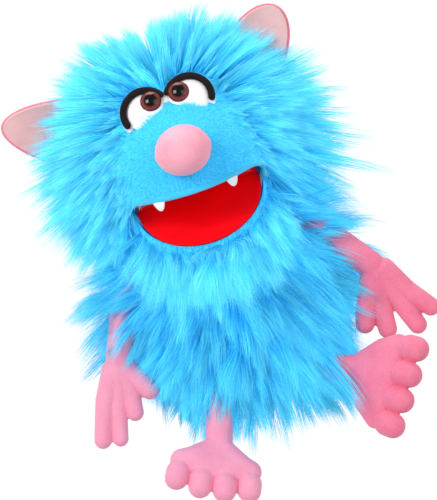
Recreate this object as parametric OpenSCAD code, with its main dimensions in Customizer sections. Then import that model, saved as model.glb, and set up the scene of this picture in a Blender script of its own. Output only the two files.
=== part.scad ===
// Moving mouth puppet: a furry hand puppet with stuffed arms and legs and a mouth that opens.
// Z is up along the arm sleeve, the face looks towards -Y, and the origin is the centre of the
// sleeve's opening at the hem. "Left" is the puppet's own left, +X. Millimetres and degrees.
// The mouth, arms, hands, legs and feet are drawn in the pose in which the puppet is shown off.

/* [Sleeve and body cover] */
// Inner radius of the arm sleeve
sleeve_r = 42; // [36:0.5:44]
// Length of the sleeve's lining, from the hem up
sleeve_len = 100; // [80:1:104]
// Thickness of the lining fabric
lining_t = 1.6; // [1:0.1:2]
// Half width of the body's fur cover at the belly
belly_half_w = 92; // [84:1:112]
// Half depth of the body's fur cover at the belly
belly_half_d = 68; // [60:1:84]
// Half width of the body's fur cover at its top edge
chest_half_w = 86; // [78:1:100]
// Half depth of the body's fur cover at its top edge, where the chin hangs over it
chest_half_d = 47.5; // [46.5:0.5:52]
// Height of the body cover's top edge in front, under the chin
chest_front_z = 104; // [96:1:106]
// Height of the body cover's top edge at the back of the neck
chest_back_z = 142; // [124:1:144]
// Height of the body cover's lower edge
hem_z = 20; // [20:1:30]

/* [Head] */
// Height of the head's centre
head_z = 235; // [228:1:245]
// Radius of the stuffed head under its fur
head_r = 84; // [78:1:90]
// Thickness of the dense fur on the head
fur_t = 26; // [16:1:32]
// Radius of the muzzle
muzzle_r = 61; // [60:1:64]
// Thickness of the muzzle's short plush
plush_t = 3; // [2:0.5:4]
// Radius of the hollow for the hand inside the head
hand_hollow_r = 47; // [46:0.5:50]

/* [Mouth] */
// Half width of the mouth, corner to corner
mouth_half_w = 58; // [48:1:62]
// Length of the upper mouth board, from the fold to the lip
upper_lip_len = 93; // [80:1:94]
// Length of the lower mouth board
lower_lip_len = 90; // [74:1:92]
// Height of the fold at the back of the mouth
fold_z = 192; // [188:1:198]
// How far the jaw hangs open as drawn
jaw_open = 32; // [20:1:36]
// Thickness of a stiff mouth board
board_t = 2; // [1.5:0.1:3]
// Thickness of the red mouth lining
red_t = 2; // [1:0.1:3]
// Depth of the jaw's padding under its board
jaw_depth = 24; // [22:1:28]
// Half width of the finger pocket
finger_half_w = 40; // [34:1:44]
// Height of the finger pocket
finger_h = 24; // [18:1:26]
// Half width of the thumb pocket
thumb_half_w = 20; // [16:1:24]
// Thickness of the pocket fabric
pocket_t = 1.4; // [1:0.1:2]
// Length of a fang
fang_len = 13; // [8:1:16]

/* [Face] */
// Radius of the nose
nose_r = 25; // [20:1:28]
// Distance of an eye's centre from the middle of the face
eye_x = 20.7; // [20.5:0.1:24]
// Radius of an eye white
eye_r = 17.5; // [14:0.5:17.8]
// Width of the black rim round an eye
rim_w = 2.8; // [2:0.1:3]
// Radius of the plastic iris
iris_r = 9.75; // [7:0.25:11]
// Radius of the plastic eye's shank
shank_r = 2; // [1.5:0.1:3]

/* [Ears] */
// Width of an ear at its base
ear_w = 64; // [50:1:70]
// Height of an ear above the fur
ear_h = 58; // [44:1:70]
// Thickness of one ear panel
ear_t = 2.2; // [1.5:0.1:3]

/* [Arms and legs] */
// Radius of an arm or a leg
limb_r = 14.5; // [11:0.5:15]
// Thickness of a limb's plush cover
skin_t = 1.5; // [1:0.1:2.5]
// Length of an arm, shoulder to wrist
arm_len = 66; // [56:1:84]
// Length of a leg, hem seam to ankle
leg_len = 43; // [36:1:60]
// Radius of the wrist and ankle balls
ball_r = 12.5; // [10:0.5:13]
// Radius of a finger
finger_r = 8.8; // [7:0.2:10]
// Radius of a toe
toe_r = 11; // [9:0.5:12]
// How far the feet point forward
foot_pitch = 35; // [0:1:45]

/* [Hidden] */

left = 1;
right = -1;
gap = 0.3;                                 // between pieces that move against each other
seam = 0.2;                                // between pieces that are sewn or glued together
big = 400;                                 // larger than the puppet, for cutting

fur_blue = [0.27, 0.76, 0.96];
pink = [0.96, 0.63, 0.75];
pale_pink = [0.94, 0.76, 0.74];
red = [0.86, 0.02, 0.09];
white = [0.93, 0.92, 0.93];
black = [0.08, 0.06, 0.06];
brown = [0.42, 0.18, 0.15];
grey = [0.72, 0.72, 0.74];

// Body: stadium-shaped sections that the cover is lofted through
body_fn = 40;
slice = 1;
waist_z = 70;
waist_half_w = belly_half_w - 1;
waist_half_d = belly_half_d - 10;
belly_z = 45;
hem_half_w = belly_half_w - 4;
hem_half_d = belly_half_d - 4;
binding_t = 2.6;
binding_h = 14;
sleeve_out_r = sleeve_r + lining_t;
neck_in_r = sleeve_r + lining_t / 2;
hollow_half_w = chest_half_w - 18;         // inner surface of the cover
hollow_half_d = sleeve_out_r + 1;

// Neck: the head turns about Z and nods about X through this point
neck_y = -3;
neck_z = 140;
neck_slope = 18;                           // underside of the head, rising outwards
neck_front_z = 106;
neck_back_z = 146;

// Head
head_y = neck_y;
muzzle_y = -56;
muzzle_z = head_z - 24;
fur_r = head_r + fur_t;
muzzle_out_r = muzzle_r + plush_t;
head_seam_y = head_y + 9;                  // where the front and back fur panels meet
muzzle_window_r = muzzle_out_r + 1.5;
muzzle_window_y = muzzle_y + 22;
eye_window_r = 47;
eye_window_z = muzzle_z + 57;
cheek_x = mouth_half_w + 8;                // inner side of the cheeks, clear of the chin
hollow_top_z = fold_z + 20;

// Mouth: the jaw is drawn closed in its own frame, whose origin is the fold, and then opened
fold_y = -20;
fold_r = 2.2;
board_start = fold_r + 1;
lining_z = fold_z + seam;
board_z = lining_z + red_t;
pocket_z = board_z + board_t + seam;
padding_z = board_z + board_t;
pocket_len = 62;
pocket_start = 6;
jaw_back = 14;                             // the jaw's thick parts start this far from the fold
chin_t = 5;
jaw_board_z = -gap - red_t - board_t;
thumb_h = jaw_depth - 4;
thumb_len = 46;
fang_x = 36;
fang_t = 3;
fang_r = 8;

// Face
nose_sink = 11;
nose_reach = muzzle_out_r + nose_r - nose_sink;
nose_tilt = asin(17 / nose_reach);
eye_y = -80;
eye_z = head_z + 38.6;
eye_tilt = 15;                             // eyes look this much upwards
eye_t = 3;
rim_start = -25;
rim_end = 150;
rim_in_r = eye_r + seam;
rim_out_r = eye_r + seam + rim_w * 2.2;
look_in = 7.3;                             // irises sit towards the nose and up: cross-eyed
look_up = 7.9;
shank_len = 16;
washer_r = 8;
washer_t = 1.5;
washer_z = -13;

// Ears: [how high on the head, which way the ear points], both above the horizontal
ear_seat_r = fur_r + 2.5;
ear_tip_r = 9;
function ear_at(side) = side == left ? 33.5 : 27;
function ear_up(side) = side == left ? 40 : 24;

// Limbs: angles away from straight down, outwards
shoulder = [92, -44, 130];
hip = [43, -58, 4];
joint_len = limb_r + ball_r + gap;         // last ball of a limb to the next ball
function arm_out(side) = side == left ? 34.5 : 23.3;
function hand_out(side) = side == left ? 21 : 18.5;
function leg_out(side) = side == left ? 72 : 19;
function foot_out(side) = side == left ? 54 : 29;
limb_fn = 16;
// Fingers, from thumb to little finger: [inwards, along the hand] of knuckle and tip
knuckles = [[9, 17], [8, 26], [0, 32], [-8, 30]];
fingertips = [[31, 30], [21, 50], [1, 66], [-15, 64]];
toe_step = 21.5;
toe_reach = 47;
foot_mid = 22;

// ---- Helpers ----

// A child turned so that straight down becomes "outwards by a degrees"
module lean(side, a) {
  rotate([0, -side * a, 0]) children();
}

// Thin stadium-shaped plate, for lofting
module section(z, half_w, half_d) {
  for (s = [-1, 1])
    translate([s * (half_w - half_d), 0, z])
      cylinder(r = half_d, h = slice, $fn = body_fn);
}

module half_space_front(y) {
  translate([-big, y - 2 * big, -big]) cube([2 * big, 2 * big, 2 * big]);
}

module half_space_back(y) {
  translate([-big, y, -big]) cube([2 * big, 2 * big, 2 * big]);
}

// Outline of a mouth board: half an ellipse, its straight side at the fold
module mouth_outline(half_w, len, start) {
  intersection() {
    polygon([for (a = [180:6:360]) [half_w * cos(a), len * sin(a)]]);
    translate([-half_w, -len]) square([2 * half_w, len - start]);
  }
}

module mouth_plate(half_w, len, start, z, t) {
  translate([0, 0, z]) linear_extrude(t) mouth_outline(half_w, len, start);
}

module at_fold() {
  translate([0, fold_y, fold_z]) children();
}

module at_jaw() {
  at_fold() rotate([jaw_open, 0, 0]) children();
}

// Frame of an eye: its Z points out of the face, its X towards the outer corner
module at_eye(side) {
  translate([side * eye_x, eye_y, eye_z])
    rotate([90 - eye_tilt, 0, 0])
      mirror([side == left ? 0 : 1, 0, 0]) children();
}

// Solid of revolution hanging down from the origin, with both ends round
module round_bar(r, len) {
  top = [for (a = [0:10:90]) [r * sin(a), r * cos(a)]];
  bottom = [for (a = [90:10:180]) [r * sin(a), r * cos(a) - len]];
  rotate_extrude($fn = 64) polygon(concat(top, bottom));
}

module at_shoulder(side) {
  translate([side * shoulder[0], shoulder[1], shoulder[2]]) lean(side, arm_out(side)) children();
}

module at_wrist(side) {
  at_shoulder(side)
    translate([0, 0, -arm_len]) lean(side, hand_out(side) - arm_out(side)) children();
}

module at_hip(side) {
  translate([side * hip[0], hip[1], hip[2]]) lean(side, leg_out(side)) children();
}

module at_ankle(side) {
  at_hip(side)
    translate([0, 0, -leg_len]) lean(side, foot_out(side) - leg_out(side))
      rotate([-foot_pitch, 0, 0]) children();
}

// ---- Body ----

module body_shape() {
  hull() {
    section(hem_z, hem_half_w, hem_half_d);
    section(belly_z, belly_half_w, belly_half_d);
    section(waist_z, waist_half_w, waist_half_d);
  }
  hull() {
    section(waist_z, waist_half_w, waist_half_d);
    section(chest_back_z, chest_half_w, chest_half_d);
  }
}

module body_hollow() {
  neck_in = sleeve_out_r + binding_t + seam;
  hull() {
    section(hem_z - 1, neck_in, neck_in);
    section(belly_z, hollow_half_w + 4, hem_half_d - 16);
  }
  hull() {
    section(belly_z, hollow_half_w + 4, hem_half_d - 16);
    section(chest_back_z + 1, hollow_half_w, hollow_half_d);
  }
}

// Everything above a plane that climbs from front_z at y = -half_d to back_z at y = half_d
module above_slope(front_z, back_z, half_d) {
  translate([0, -half_d, front_z]) rotate([atan((back_z - front_z) / (2 * half_d)), 0, 0])
    translate([-big / 2, -big / 2, 0]) cube([big, big, big]);
}

module body_fur_front() {
  color(fur_blue)
    difference() {
      intersection() {
        body_shape();
        half_space_front(0);
      }
      body_hollow();
      above_slope(chest_front_z, chest_back_z, chest_half_d);
    }
}

module body_fur_back() {
  color(fur_blue)
    difference() {
      intersection() {
        body_shape();
        half_space_back(0);
      }
      body_hollow();
      above_slope(chest_front_z, chest_back_z, chest_half_d);
    }
}

module body_lining() {
  color(grey)
    difference() {
      cylinder(r = sleeve_out_r, h = sleeve_len, $fn = 96);
      translate([0, 0, -1]) cylinder(r = sleeve_r, h = sleeve_len + 2, $fn = 96);
    }
}

module hem_binding() {
  color(fur_blue)
    difference() {
      cylinder(r = sleeve_out_r + binding_t, h = hem_z + binding_h, $fn = 96);
      translate([0, 0, -1]) cylinder(r = sleeve_out_r, h = hem_z + binding_h + 2, $fn = 96);
    }
}

// Lining between sleeve and head, lower in front where the jaw swings
module neck_lining() {
  color(grey)
    difference() {
      translate([0, 0, sleeve_len + gap])
        cylinder(r = sleeve_out_r, h = neck_back_z - sleeve_len, $fn = 96);
      translate([0, 0, sleeve_len]) cylinder(r = neck_in_r, h = big, $fn = 96);
      above_slope(neck_front_z, neck_back_z, sleeve_out_r);
    }
}

// ---- Head ----

// Everything under the head's underside, which rises outwards to leave room for nodding
module under_head() {
  translate([0, neck_y, neck_z])
    rotate_extrude($fn = 96) polygon([[0, -big], [big, -big], [big, big * tan(neck_slope)], [0, 0]]);
}

// The room in front of and below the mouth fold, where the jaw swings
module jaw_room(half_w, back_y, top_z) {
  translate([-half_w, back_y - big, top_z - big]) cube([2 * half_w, big, big]);
}

module head_shape(r) {
  translate([0, head_y, head_z]) sphere(r = r, $fn = 96);
}

module muzzle_shape(r) {
  translate([0, muzzle_y, muzzle_z]) sphere(r = r, $fn = 96);
}

// Angle from the top at which a sphere of radius r meets the underside
function edge_a(r, drop) = acos(drop * cos(neck_slope) / r) - neck_slope;

// Round shell from radius r_in to r_out, open below where the underside cuts it
module head_shell(r_in, r_out) {
  drop = neck_z - head_z;
  function arc(r, from, to) = [for (i = [0:24]) let (a = from + i * (to - from) / 24)
                               [r * sin(a), r * cos(a)]];
  translate([0, head_y, head_z]) rotate_extrude($fn = 96)
    polygon(concat(arc(r_out, 0, edge_a(r_out, drop)),
                   [[hand_hollow_r, drop + hand_hollow_r * tan(neck_slope)]],
                   arc(r_in, 180 - asin(hand_hollow_r / r_in), 0)));
}

module head_fur() {
  difference() {
    head_shell(head_r + seam, fur_r);
    translate([0, muzzle_window_y, muzzle_z]) rotate([90, 0, 0])
      cylinder(r = muzzle_window_r, h = big, $fn = 96);
    translate([0, muzzle_window_y, eye_window_z]) rotate([90, 0, 0])
      cylinder(r = eye_window_r, h = big, $fn = 96);
    jaw_room(cheek_x, fold_y + 12, fold_z + 8);
  }
}

module head_fur_front() {
  color(fur_blue)
    intersection() {
      head_fur();
      half_space_front(head_seam_y);
    }
}

module head_fur_back() {
  color(fur_blue)
    intersection() {
      head_fur();
      half_space_back(head_seam_y);
    }
}

// Room for the muzzle in front of the face: it hides the lower edge of the eyes
module muzzle_column() {
  translate([0, head_y, muzzle_z]) rotate([90, 0, 0])
    cylinder(r = muzzle_out_r + seam, h = big, $fn = 96);
}

module head_padding() {
  color(white)
    difference() {
      union() {
        head_shape(head_r);
        muzzle_shape(muzzle_r);
        difference() {
          for (side = [left, right])
            at_eye(side) translate([0, 0, -40]) cylinder(r = rim_out_r, h = 40, $fn = 64);
          muzzle_column();
        }
      }
      under_head();
      jaw_room(big, fold_y + 12, padding_z + seam);
      translate([0, neck_y, neck_z - 20])
        cylinder(r = hand_hollow_r, h = hollow_top_z - neck_z + 20, $fn = 96);
      translate([-finger_half_w - 1, fold_y - pocket_start - pocket_len - 2, padding_z - 1])
        cube([2 * finger_half_w + 2, pocket_len + 40, finger_h + 3]);
      for (side = [left, right]) at_eye(side) translate([-look_in, look_up, 0]) {
        translate([0, 0, -shank_len - 3]) cylinder(r = shank_r + seam, h = shank_len + 4, $fn = 32);
        translate([0, 0, washer_z - 5])
          cylinder(r = washer_r + seam, h = 5 + washer_t + seam, $fn = 48);
      }
    }
}

// Cap of plush over the muzzle, as far back as where the muzzle meets the head
module muzzle_cap(r_in, r_out) {
  back = norm([head_y - muzzle_y, head_z - muzzle_z]);
  head = head_r + seam;
  function edge(r) = acos((head * head - r * r - back * back) / (2 * back * r));
  function arc(r, from, to) = [for (i = [0:18]) let (a = from + i * (to - from) / 18)
                               [r * sin(a), r * cos(a)]];
  translate([0, muzzle_y, muzzle_z])
    rotate([90 + atan2(head_z - muzzle_z, head_y - muzzle_y), 0, 0]) rotate_extrude($fn = 96)
      polygon(concat(arc(r_out, 0, edge(r_out)), arc(r_in, edge(r_in), 0)));
}

module muzzle_cover() {
  color(fur_blue)
    difference() {
      muzzle_cap(muzzle_r + seam, muzzle_out_r);
      jaw_room(big, 0, lining_z);
    }
}

// ---- Mouth ----

module upper_mouth_board() {
  color("tan") at_fold()
    mouth_plate(mouth_half_w - 2, upper_lip_len - 2, board_start, board_z - fold_z, board_t);
}

module upper_mouth_lining() {
  color(red) at_fold()
    mouth_plate(mouth_half_w, upper_lip_len, board_start, lining_z - fold_z, red_t);
}

module pocket(half_w, len, h) {
  difference() {
    translate([-half_w, -len, 0]) cube([2 * half_w, len, h]);
    translate([pocket_t - half_w, pocket_t - len, pocket_t])
      cube([2 * (half_w - pocket_t), len, h - 2 * pocket_t]);
  }
}

module finger_pocket() {
  color(grey)
    translate([0, fold_y - pocket_start, pocket_z]) pocket(finger_half_w, pocket_len, finger_h);
}

// The rolled seam that the jaw turns about
module mouth_fold() {
  color(red) at_fold() rotate([0, 90, 0])
    cylinder(r = fold_r, h = 2 * mouth_half_w - 4, center = true, $fn = 32);
}

module lower_mouth_lining() {
  color(red) at_jaw()
    mouth_plate(mouth_half_w, lower_lip_len, board_start, -gap - red_t, red_t);
}

module lower_mouth_board() {
  color("tan") at_jaw()
    mouth_plate(mouth_half_w - 2, lower_lip_len - 2, board_start, jaw_board_z, board_t);
}

module thumb_pocket() {
  color(grey) at_jaw()
    translate([0, -jaw_back, jaw_board_z - seam - thumb_h]) pocket(thumb_half_w, thumb_len, thumb_h);
}

// Bowl under the lower board, larger all round than the padding by grow, from back on forwards
module jaw_bowl(rim_z, grow, back) {
  w = mouth_half_w + grow;
  len = lower_lip_len + grow;
  top_z = jaw_board_z - seam;
  hull() {
    mouth_plate(w, len, back, rim_z - slice, slice);
    mouth_plate(w, len, back, top_z - slice, slice);
    mouth_plate(w - 6, len - 6, back, top_z - 0.6 * jaw_depth - grow / 2, slice);
    mouth_plate(w - 18, len - 22, back, top_z - jaw_depth - grow, slice);
  }
}

module jaw_padding() {
  color(white) at_jaw()
    difference() {
      jaw_bowl(jaw_board_z - seam, 0, jaw_back);
      translate([-thumb_half_w - 1, -jaw_back - thumb_len - 1, jaw_board_z - seam - thumb_h - 0.6])
        cube([2 * thumb_half_w + 2, thumb_len + 30, thumb_h + 1.6]);
    }
}

module chin_cover() {
  color(fur_blue) at_jaw()
    difference() {
      jaw_bowl(-gap, chin_t, jaw_back);
      jaw_bowl(seam + slice, 2 * seam, jaw_back - 2);
      translate([-thumb_half_w - 1, -thumb_len / 2, -big / 2])
        cube([2 * thumb_half_w + 2, thumb_len, big / 2]);
    }
}

// Pointed tooth hanging under the lip
module fang(side) {
  lip_r = sqrt(muzzle_r * muzzle_r - pow(muzzle_z - lining_z, 2));
  color(white)
    translate([0, muzzle_y, lining_z - seam])
      rotate([0, 0, side * asin(fang_x / lip_r)]) translate([0, -lip_r, 0])
        rotate([90, 0, 0]) linear_extrude(fang_t)
          intersection() {
            translate([fang_len - fang_r, 0]) circle(r = fang_len, $fn = 64);
            translate([fang_r - fang_len, 0]) circle(r = fang_len, $fn = 64);
            translate([-fang_r, -2 * fang_len]) square([2 * fang_r, 2 * fang_len]);
          }
}

// ---- Face ----

// Round nose of radius r, hollowed to sit on a muzzle of radius seat
module nose_shape(r, seat) {
  edge_z = (seat * seat - r * r + nose_reach * nose_reach) / (2 * nose_reach);
  seat_a = acos(edge_z / seat);
  edge_a = acos((edge_z - nose_reach) / r);
  on_seat = [for (i = [0:6]) let (a = seat_a * i / 6) [seat * sin(a), seat * cos(a)]];
  on_nose = [for (i = [1:18]) let (a = edge_a * (18 - i) / 18) [r * sin(a), nose_reach + r * cos(a)]];
  translate([0, muzzle_y, muzzle_z]) rotate([90 - nose_tilt, 0, 0])
    rotate_extrude($fn = 64) polygon(concat(on_seat, on_nose));
}

module nose_cover() {
  color(pink)
    difference() {
      nose_shape(nose_r, muzzle_out_r + seam);
      nose_shape(nose_r - skin_t, muzzle_out_r + seam / 2);
    }
}

module nose_filling() {
  color(white) nose_shape(nose_r - skin_t - seam, muzzle_out_r + 2 * seam);
}

module eye_white(side) {
  color(white)
    difference() {
      at_eye(side) translate([0, 0, seam]) cylinder(r = eye_r, h = eye_t, $fn = 64);
      at_eye(side) translate([-look_in, look_up, -1])
        cylinder(r = shank_r + seam, h = eye_t + 3, $fn = 32);
      muzzle_column();
    }
}

module eye_rim(side) {
  middle = (rim_start + rim_end) / 2;
  half = (rim_end - rim_start) / 2;
  far = 3 * rim_out_r;
  color(black)
    difference() {
      at_eye(side) translate([0, 0, seam]) cylinder(r = rim_out_r, h = eye_t, $fn = 96);
      at_eye(side) translate([0, 0, -1]) cylinder(r = rim_in_r, h = eye_t + 3, $fn = 96);
      at_eye(side) rotate([0, 0, middle + 180]) translate([0, 0, -1]) linear_extrude(eye_t + 3)
        polygon([[0, 0], far * [cos(180 - half), -sin(180 - half)], far * [1, -1], far * [1, 1],
                 far * [cos(180 - half), sin(180 - half)]]);
      muzzle_column();
    }
}

module safety_eye(side) {
  dome_z = seam + eye_t + seam;
  dome_h = 5;
  cap_r = (iris_r * iris_r + dome_h * dome_h) / (2 * dome_h);
  color(brown) at_eye(side) translate([-look_in, look_up, 0]) {
    intersection() {
      translate([0, 0, dome_z + dome_h - cap_r]) sphere(r = cap_r, $fn = 96);
      translate([0, 0, dome_z]) cylinder(r = iris_r + 1, h = dome_h + 1, $fn = 64);
    }
    translate([0, 0, dome_z - shank_len - eye_t]) cylinder(r = shank_r, h = shank_len + eye_t + 1, $fn = 32);
  }
}

module eye_washer(side) {
  color(grey) at_eye(side) translate([-look_in, look_up, washer_z])
    difference() {
      cylinder(r = washer_r, h = washer_t, $fn = 48);
      translate([0, 0, -1]) cylinder(r = shank_r + seam / 4, h = washer_t + 2, $fn = 32);
    }
}

// ---- Ears ----

// Frame of an ear: base seam along X, tip along Y, front towards Z
module at_ear(side) {
  translate([side * ear_seat_r * cos(ear_at(side)), head_y, head_z + ear_seat_r * sin(ear_at(side))])
    rotate([0, -side * ear_up(side), 0])
      mirror([side == left ? 0 : 1, 0, 0]) rotate([90, 0, 0]) rotate([0, 0, -90]) children();
}

// Two slanting sides and a round tip
module ear_outline() {
  tip = ear_h - ear_tip_r;
  side_a = acos(ear_tip_r / norm([ear_w / 2, tip])) + atan2(tip, ear_w / 2);
  round_tip = [for (i = [0:8]) let (a = 180 - side_a + i * (2 * side_a - 180) / 8)
               [ear_tip_r * cos(a), tip + ear_tip_r * sin(a)]];
  polygon(concat([[-ear_w / 2, 0], [ear_w / 2, 0]], round_tip));
}

module ear_inner(side) {
  color(pale_pink) at_ear(side) translate([0, 0, seam / 2]) linear_extrude(ear_t) ear_outline();
}

module ear_back(side) {
  color(pink) at_ear(side)
    translate([0, 0, -seam / 2 - ear_t]) linear_extrude(ear_t) ear_outline();
}

// ---- Arms and legs ----

module limb_cover(len) {
  difference() {
    round_bar(limb_r, len - joint_len);
    round_bar(limb_r - skin_t, len - joint_len);
  }
}

module limb_filling(len) {
  round_bar(limb_r - skin_t - seam, len - joint_len);
}

module arm_cover(side) {
  color(pink) at_shoulder(side) limb_cover(arm_len);
}

module arm_filling(side) {
  color(white) at_shoulder(side) limb_filling(arm_len);
}

module leg_cover(side) {
  color(pink) at_hip(side) limb_cover(leg_len);
}

module leg_filling(side) {
  color(white) at_hip(side) limb_filling(leg_len);
}

// Stuffed hand hanging from the wrist ball, thumb towards the body
module hand(side) {
  function place(p) = [-side * p[0], 0, -p[1]];
  color(pink) at_wrist(side)
    for (i = [0:3]) {
      hull() {
        sphere(r = ball_r, $fn = limb_fn);
        translate(place(knuckles[i])) sphere(r = finger_r + 1.5, $fn = limb_fn);
      }
      hull() {
        translate(place(knuckles[i])) sphere(r = finger_r + 1.5, $fn = limb_fn);
        translate(place(fingertips[i])) sphere(r = finger_r, $fn = limb_fn);
      }
    }
}

// Stuffed foot hanging from the ankle ball, with a row of toes
module foot(side) {
  color(pink) at_ankle(side)
    for (i = [0:3]) {
      x = (i - 1.5) * toe_step;
      reach = toe_reach - x * x / 150;
      hull() {
        sphere(r = ball_r, $fn = limb_fn);
        translate([0.55 * x, 0, -foot_mid]) sphere(r = toe_r + 1, $fn = limb_fn);
      }
      hull() {
        translate([0.55 * x, 0, -foot_mid]) sphere(r = toe_r + 1, $fn = limb_fn);
        translate([x, 0, -reach]) sphere(r = toe_r, $fn = limb_fn);
      }
    }
}

body_fur_front();
body_fur_back();
body_lining();
hem_binding();
neck_lining();
head_fur_front();
head_fur_back();
head_padding();
muzzle_cover();
upper_mouth_board();
upper_mouth_lining();
finger_pocket();
mouth_fold();
lower_mouth_board();
lower_mouth_lining();
thumb_pocket();
jaw_padding();
chin_cover();
nose_cover();
nose_filling();
eye_white(left);  // eye_white_left
eye_white(right);  // eye_white_right
eye_rim(left);  // eye_rim_left
eye_rim(right);  // eye_rim_right
safety_eye(left);  // safety_eye_left
safety_eye(right);  // safety_eye_right
eye_washer(left);  // eye_washer_left
eye_washer(right);  // eye_washer_right
fang(left);  // fang_left
fang(right);  // fang_right
ear_inner(left);  // ear_inner_left
ear_inner(right);  // ear_inner_right
ear_back(left);  // ear_back_left
ear_back(right);  // ear_back_right
arm_cover(left);  // arm_cover_left
arm_cover(right);  // arm_cover_right
arm_filling(left);  // arm_filling_left
arm_filling(right);  // arm_filling_right
hand(left);  // hand_left
hand(right);  // hand_right
leg_cover(left);  // leg_cover_left
leg_cover(right);  // leg_cover_right
leg_filling(left);  // leg_filling_left
leg_filling(right);  // leg_filling_right
foot(left);  // foot_left
foot(right);  // foot_right
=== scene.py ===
"""A furry blue hand puppet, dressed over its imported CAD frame.

Lengths are in millimetres, except those of the camera, lights, modifiers and shaders, in metres."""

import math
import bpy
import numpy as np
from mathutils import Matrix, Vector
from mathutils.kdtree import KDTree


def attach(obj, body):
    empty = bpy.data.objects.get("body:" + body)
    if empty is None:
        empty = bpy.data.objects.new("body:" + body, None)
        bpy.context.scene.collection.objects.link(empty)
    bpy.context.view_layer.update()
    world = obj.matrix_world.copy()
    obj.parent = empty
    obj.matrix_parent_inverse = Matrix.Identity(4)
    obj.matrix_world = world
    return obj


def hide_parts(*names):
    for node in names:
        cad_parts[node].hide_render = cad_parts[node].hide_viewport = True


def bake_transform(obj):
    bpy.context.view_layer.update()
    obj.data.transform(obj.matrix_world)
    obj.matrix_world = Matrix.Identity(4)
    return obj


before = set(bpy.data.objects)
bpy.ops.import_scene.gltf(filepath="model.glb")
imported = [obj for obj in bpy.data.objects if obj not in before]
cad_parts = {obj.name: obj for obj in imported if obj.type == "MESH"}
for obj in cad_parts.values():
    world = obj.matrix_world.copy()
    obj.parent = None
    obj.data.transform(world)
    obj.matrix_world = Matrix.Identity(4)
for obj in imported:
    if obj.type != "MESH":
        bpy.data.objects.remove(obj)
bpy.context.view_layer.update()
scene = bpy.context.scene

# ---- Camera: the puppet leans 19 degrees in the picture, so the camera is rolled ----
ROLL = math.radians(19)
RIGHT = Vector((math.cos(ROLL), 0, -math.sin(ROLL)))
UP = Vector((math.sin(ROLL), 0, math.cos(ROLL)))
TOWARDS_CAMERA = Vector((0, -1, 0))
AIM = Vector((0.0009, -0.06, 0.134))
DISTANCE = 2.0
SENSOR_WIDTH = 36
WIDTH_AT_AIM = 0.46
camera = bpy.data.objects.new("camera", bpy.data.cameras.new("camera"))
scene.collection.objects.link(camera)
scene.camera = camera
camera.location = AIM + DISTANCE * TOWARDS_CAMERA
camera.rotation_mode = "QUATERNION"
camera.rotation_quaternion = Matrix((RIGHT, UP, TOWARDS_CAMERA)).transposed().to_quaternion()
camera.data.sensor_width = SENSOR_WIDTH
camera.data.lens = SENSOR_WIDTH * DISTANCE / WIDTH_AT_AIM
camera.data.dof.use_dof = False
scene.view_settings.view_transform = "Standard"

# ---- Shape of the puppet ----
HEAD = np.array([0, -3, 235.0])      # centres of the two balls that the head is made of
MUZZLE = np.array([0, -56, 211.0])
HEAD_R, MUZZLE_R = 87.0, 64.0
FOLD = np.array([0, -20, 192.0])     # middle of the fold at the back of the mouth
JAW = math.radians(32)               # how far the mouth is open at rest
EYE_X, EYE_Y, EYE_Z = 20.7, -80.0, 273.6
EYE_FACING = (0.0, -0.966, 0.259)
NOSE = np.array([0, -132, 228.0])
DOWN = np.array([-math.sin(ROLL), 0, -math.cos(ROLL)])  # down in the picture
SIDES = ((1, "left"), (-1, "right"))  # the puppet's own
STRAND_BOX = ((0, -176.0, 190.0), (1, -170.0, 121.0), (2, -110.0, 362.0))  # axis, lowest and highest tip


def unit(v):
    return v / np.maximum(np.linalg.norm(v, axis=-1, keepdims=True), 1e-9)


def smooth(x, a, b):
    t = np.clip((x - a) / (b - a), 0, 1)
    return t * t * (3 - 2 * t)


# ---- Materials ----
def new_material(name, rough=0.8, spec=0.25, sheen=0.0):
    """A material with its nodes, its links and its shader."""
    m = bpy.data.materials.new(name)
    m.use_nodes = True
    n = m.node_tree.nodes
    b = next(x for x in n if x.type == "BSDF_PRINCIPLED")
    b.inputs["Roughness"].default_value = rough
    b.inputs["Specular IOR Level"].default_value = spec
    b.inputs["Sheen Weight"].default_value = sheen
    b.inputs["Sheen Roughness"].default_value = 0.6
    return m, n, m.node_tree.links, b


def ramp(n, stops):
    """Colour ramp through (position, colour) stops."""
    r = n.new("ShaderNodeValToRGB")
    e = r.color_ramp.elements
    while len(e) < len(stops):
        e.new(0.5)
    for x, (p, c) in zip(e, stops):
        x.position = p
        x.color = (*c, 1)
    return r


def srgb(*c):
    """Linear colour of 0 to 255 screen values."""
    return tuple((x / 255 / 12.92) if x <= 10 else ((x / 255 + 0.055) / 1.055) ** 2.4 for x in c)


def fur_material(name, root, mid, tip, spread=(0.6, 1.15), painted_glow_range=(0.06, 0.42), deep=0.35):
    """Colour from root to tip along the strand, darkest at the root as painted shade deep in the pile,
    a random tone from lock to lock, and painted glow: the same colour emitted, more towards the tip.
    """
    m, n, links, b = new_material(name, 0.6, 0.2)
    uv = n.new("ShaderNodeUVMap")
    uv.uv_map = "OFBake"
    xyz = n.new("ShaderNodeSeparateXYZ")
    links.new(uv.outputs[0], xyz.inputs[0])
    # Painted shade: darkest at the root, deep in the pile, lightest at the tip
    along = ramp(n, [(0.0, root), (deep, mid), (0.95, tip)])
    links.new(xyz.outputs["Y"], along.inputs[0])
    shade = n.new("ShaderNodeMapRange")
    shade.inputs["To Min"].default_value, shade.inputs["To Max"].default_value = spread
    links.new(xyz.outputs["X"], shade.inputs[0])
    mix = n.new("ShaderNodeVectorMath")
    mix.operation = "SCALE"
    links.new(along.outputs[0], mix.inputs[0])
    links.new(shade.outputs[0], mix.inputs["Scale"])
    links.new(mix.outputs[0], b.inputs["Base Color"])
    # Painted glow: each strand emits its own colour, more towards the tip, in place of light scattered in the
    # fur
    links.new(mix.outputs[0], b.inputs["Emission Color"])
    glow = n.new("ShaderNodeMapRange")
    glow.inputs["To Min"].default_value, glow.inputs["To Max"].default_value = painted_glow_range
    links.new(xyz.outputs["Y"], glow.inputs[0])
    links.new(glow.outputs[0], b.inputs["Emission Strength"])
    return m


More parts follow.
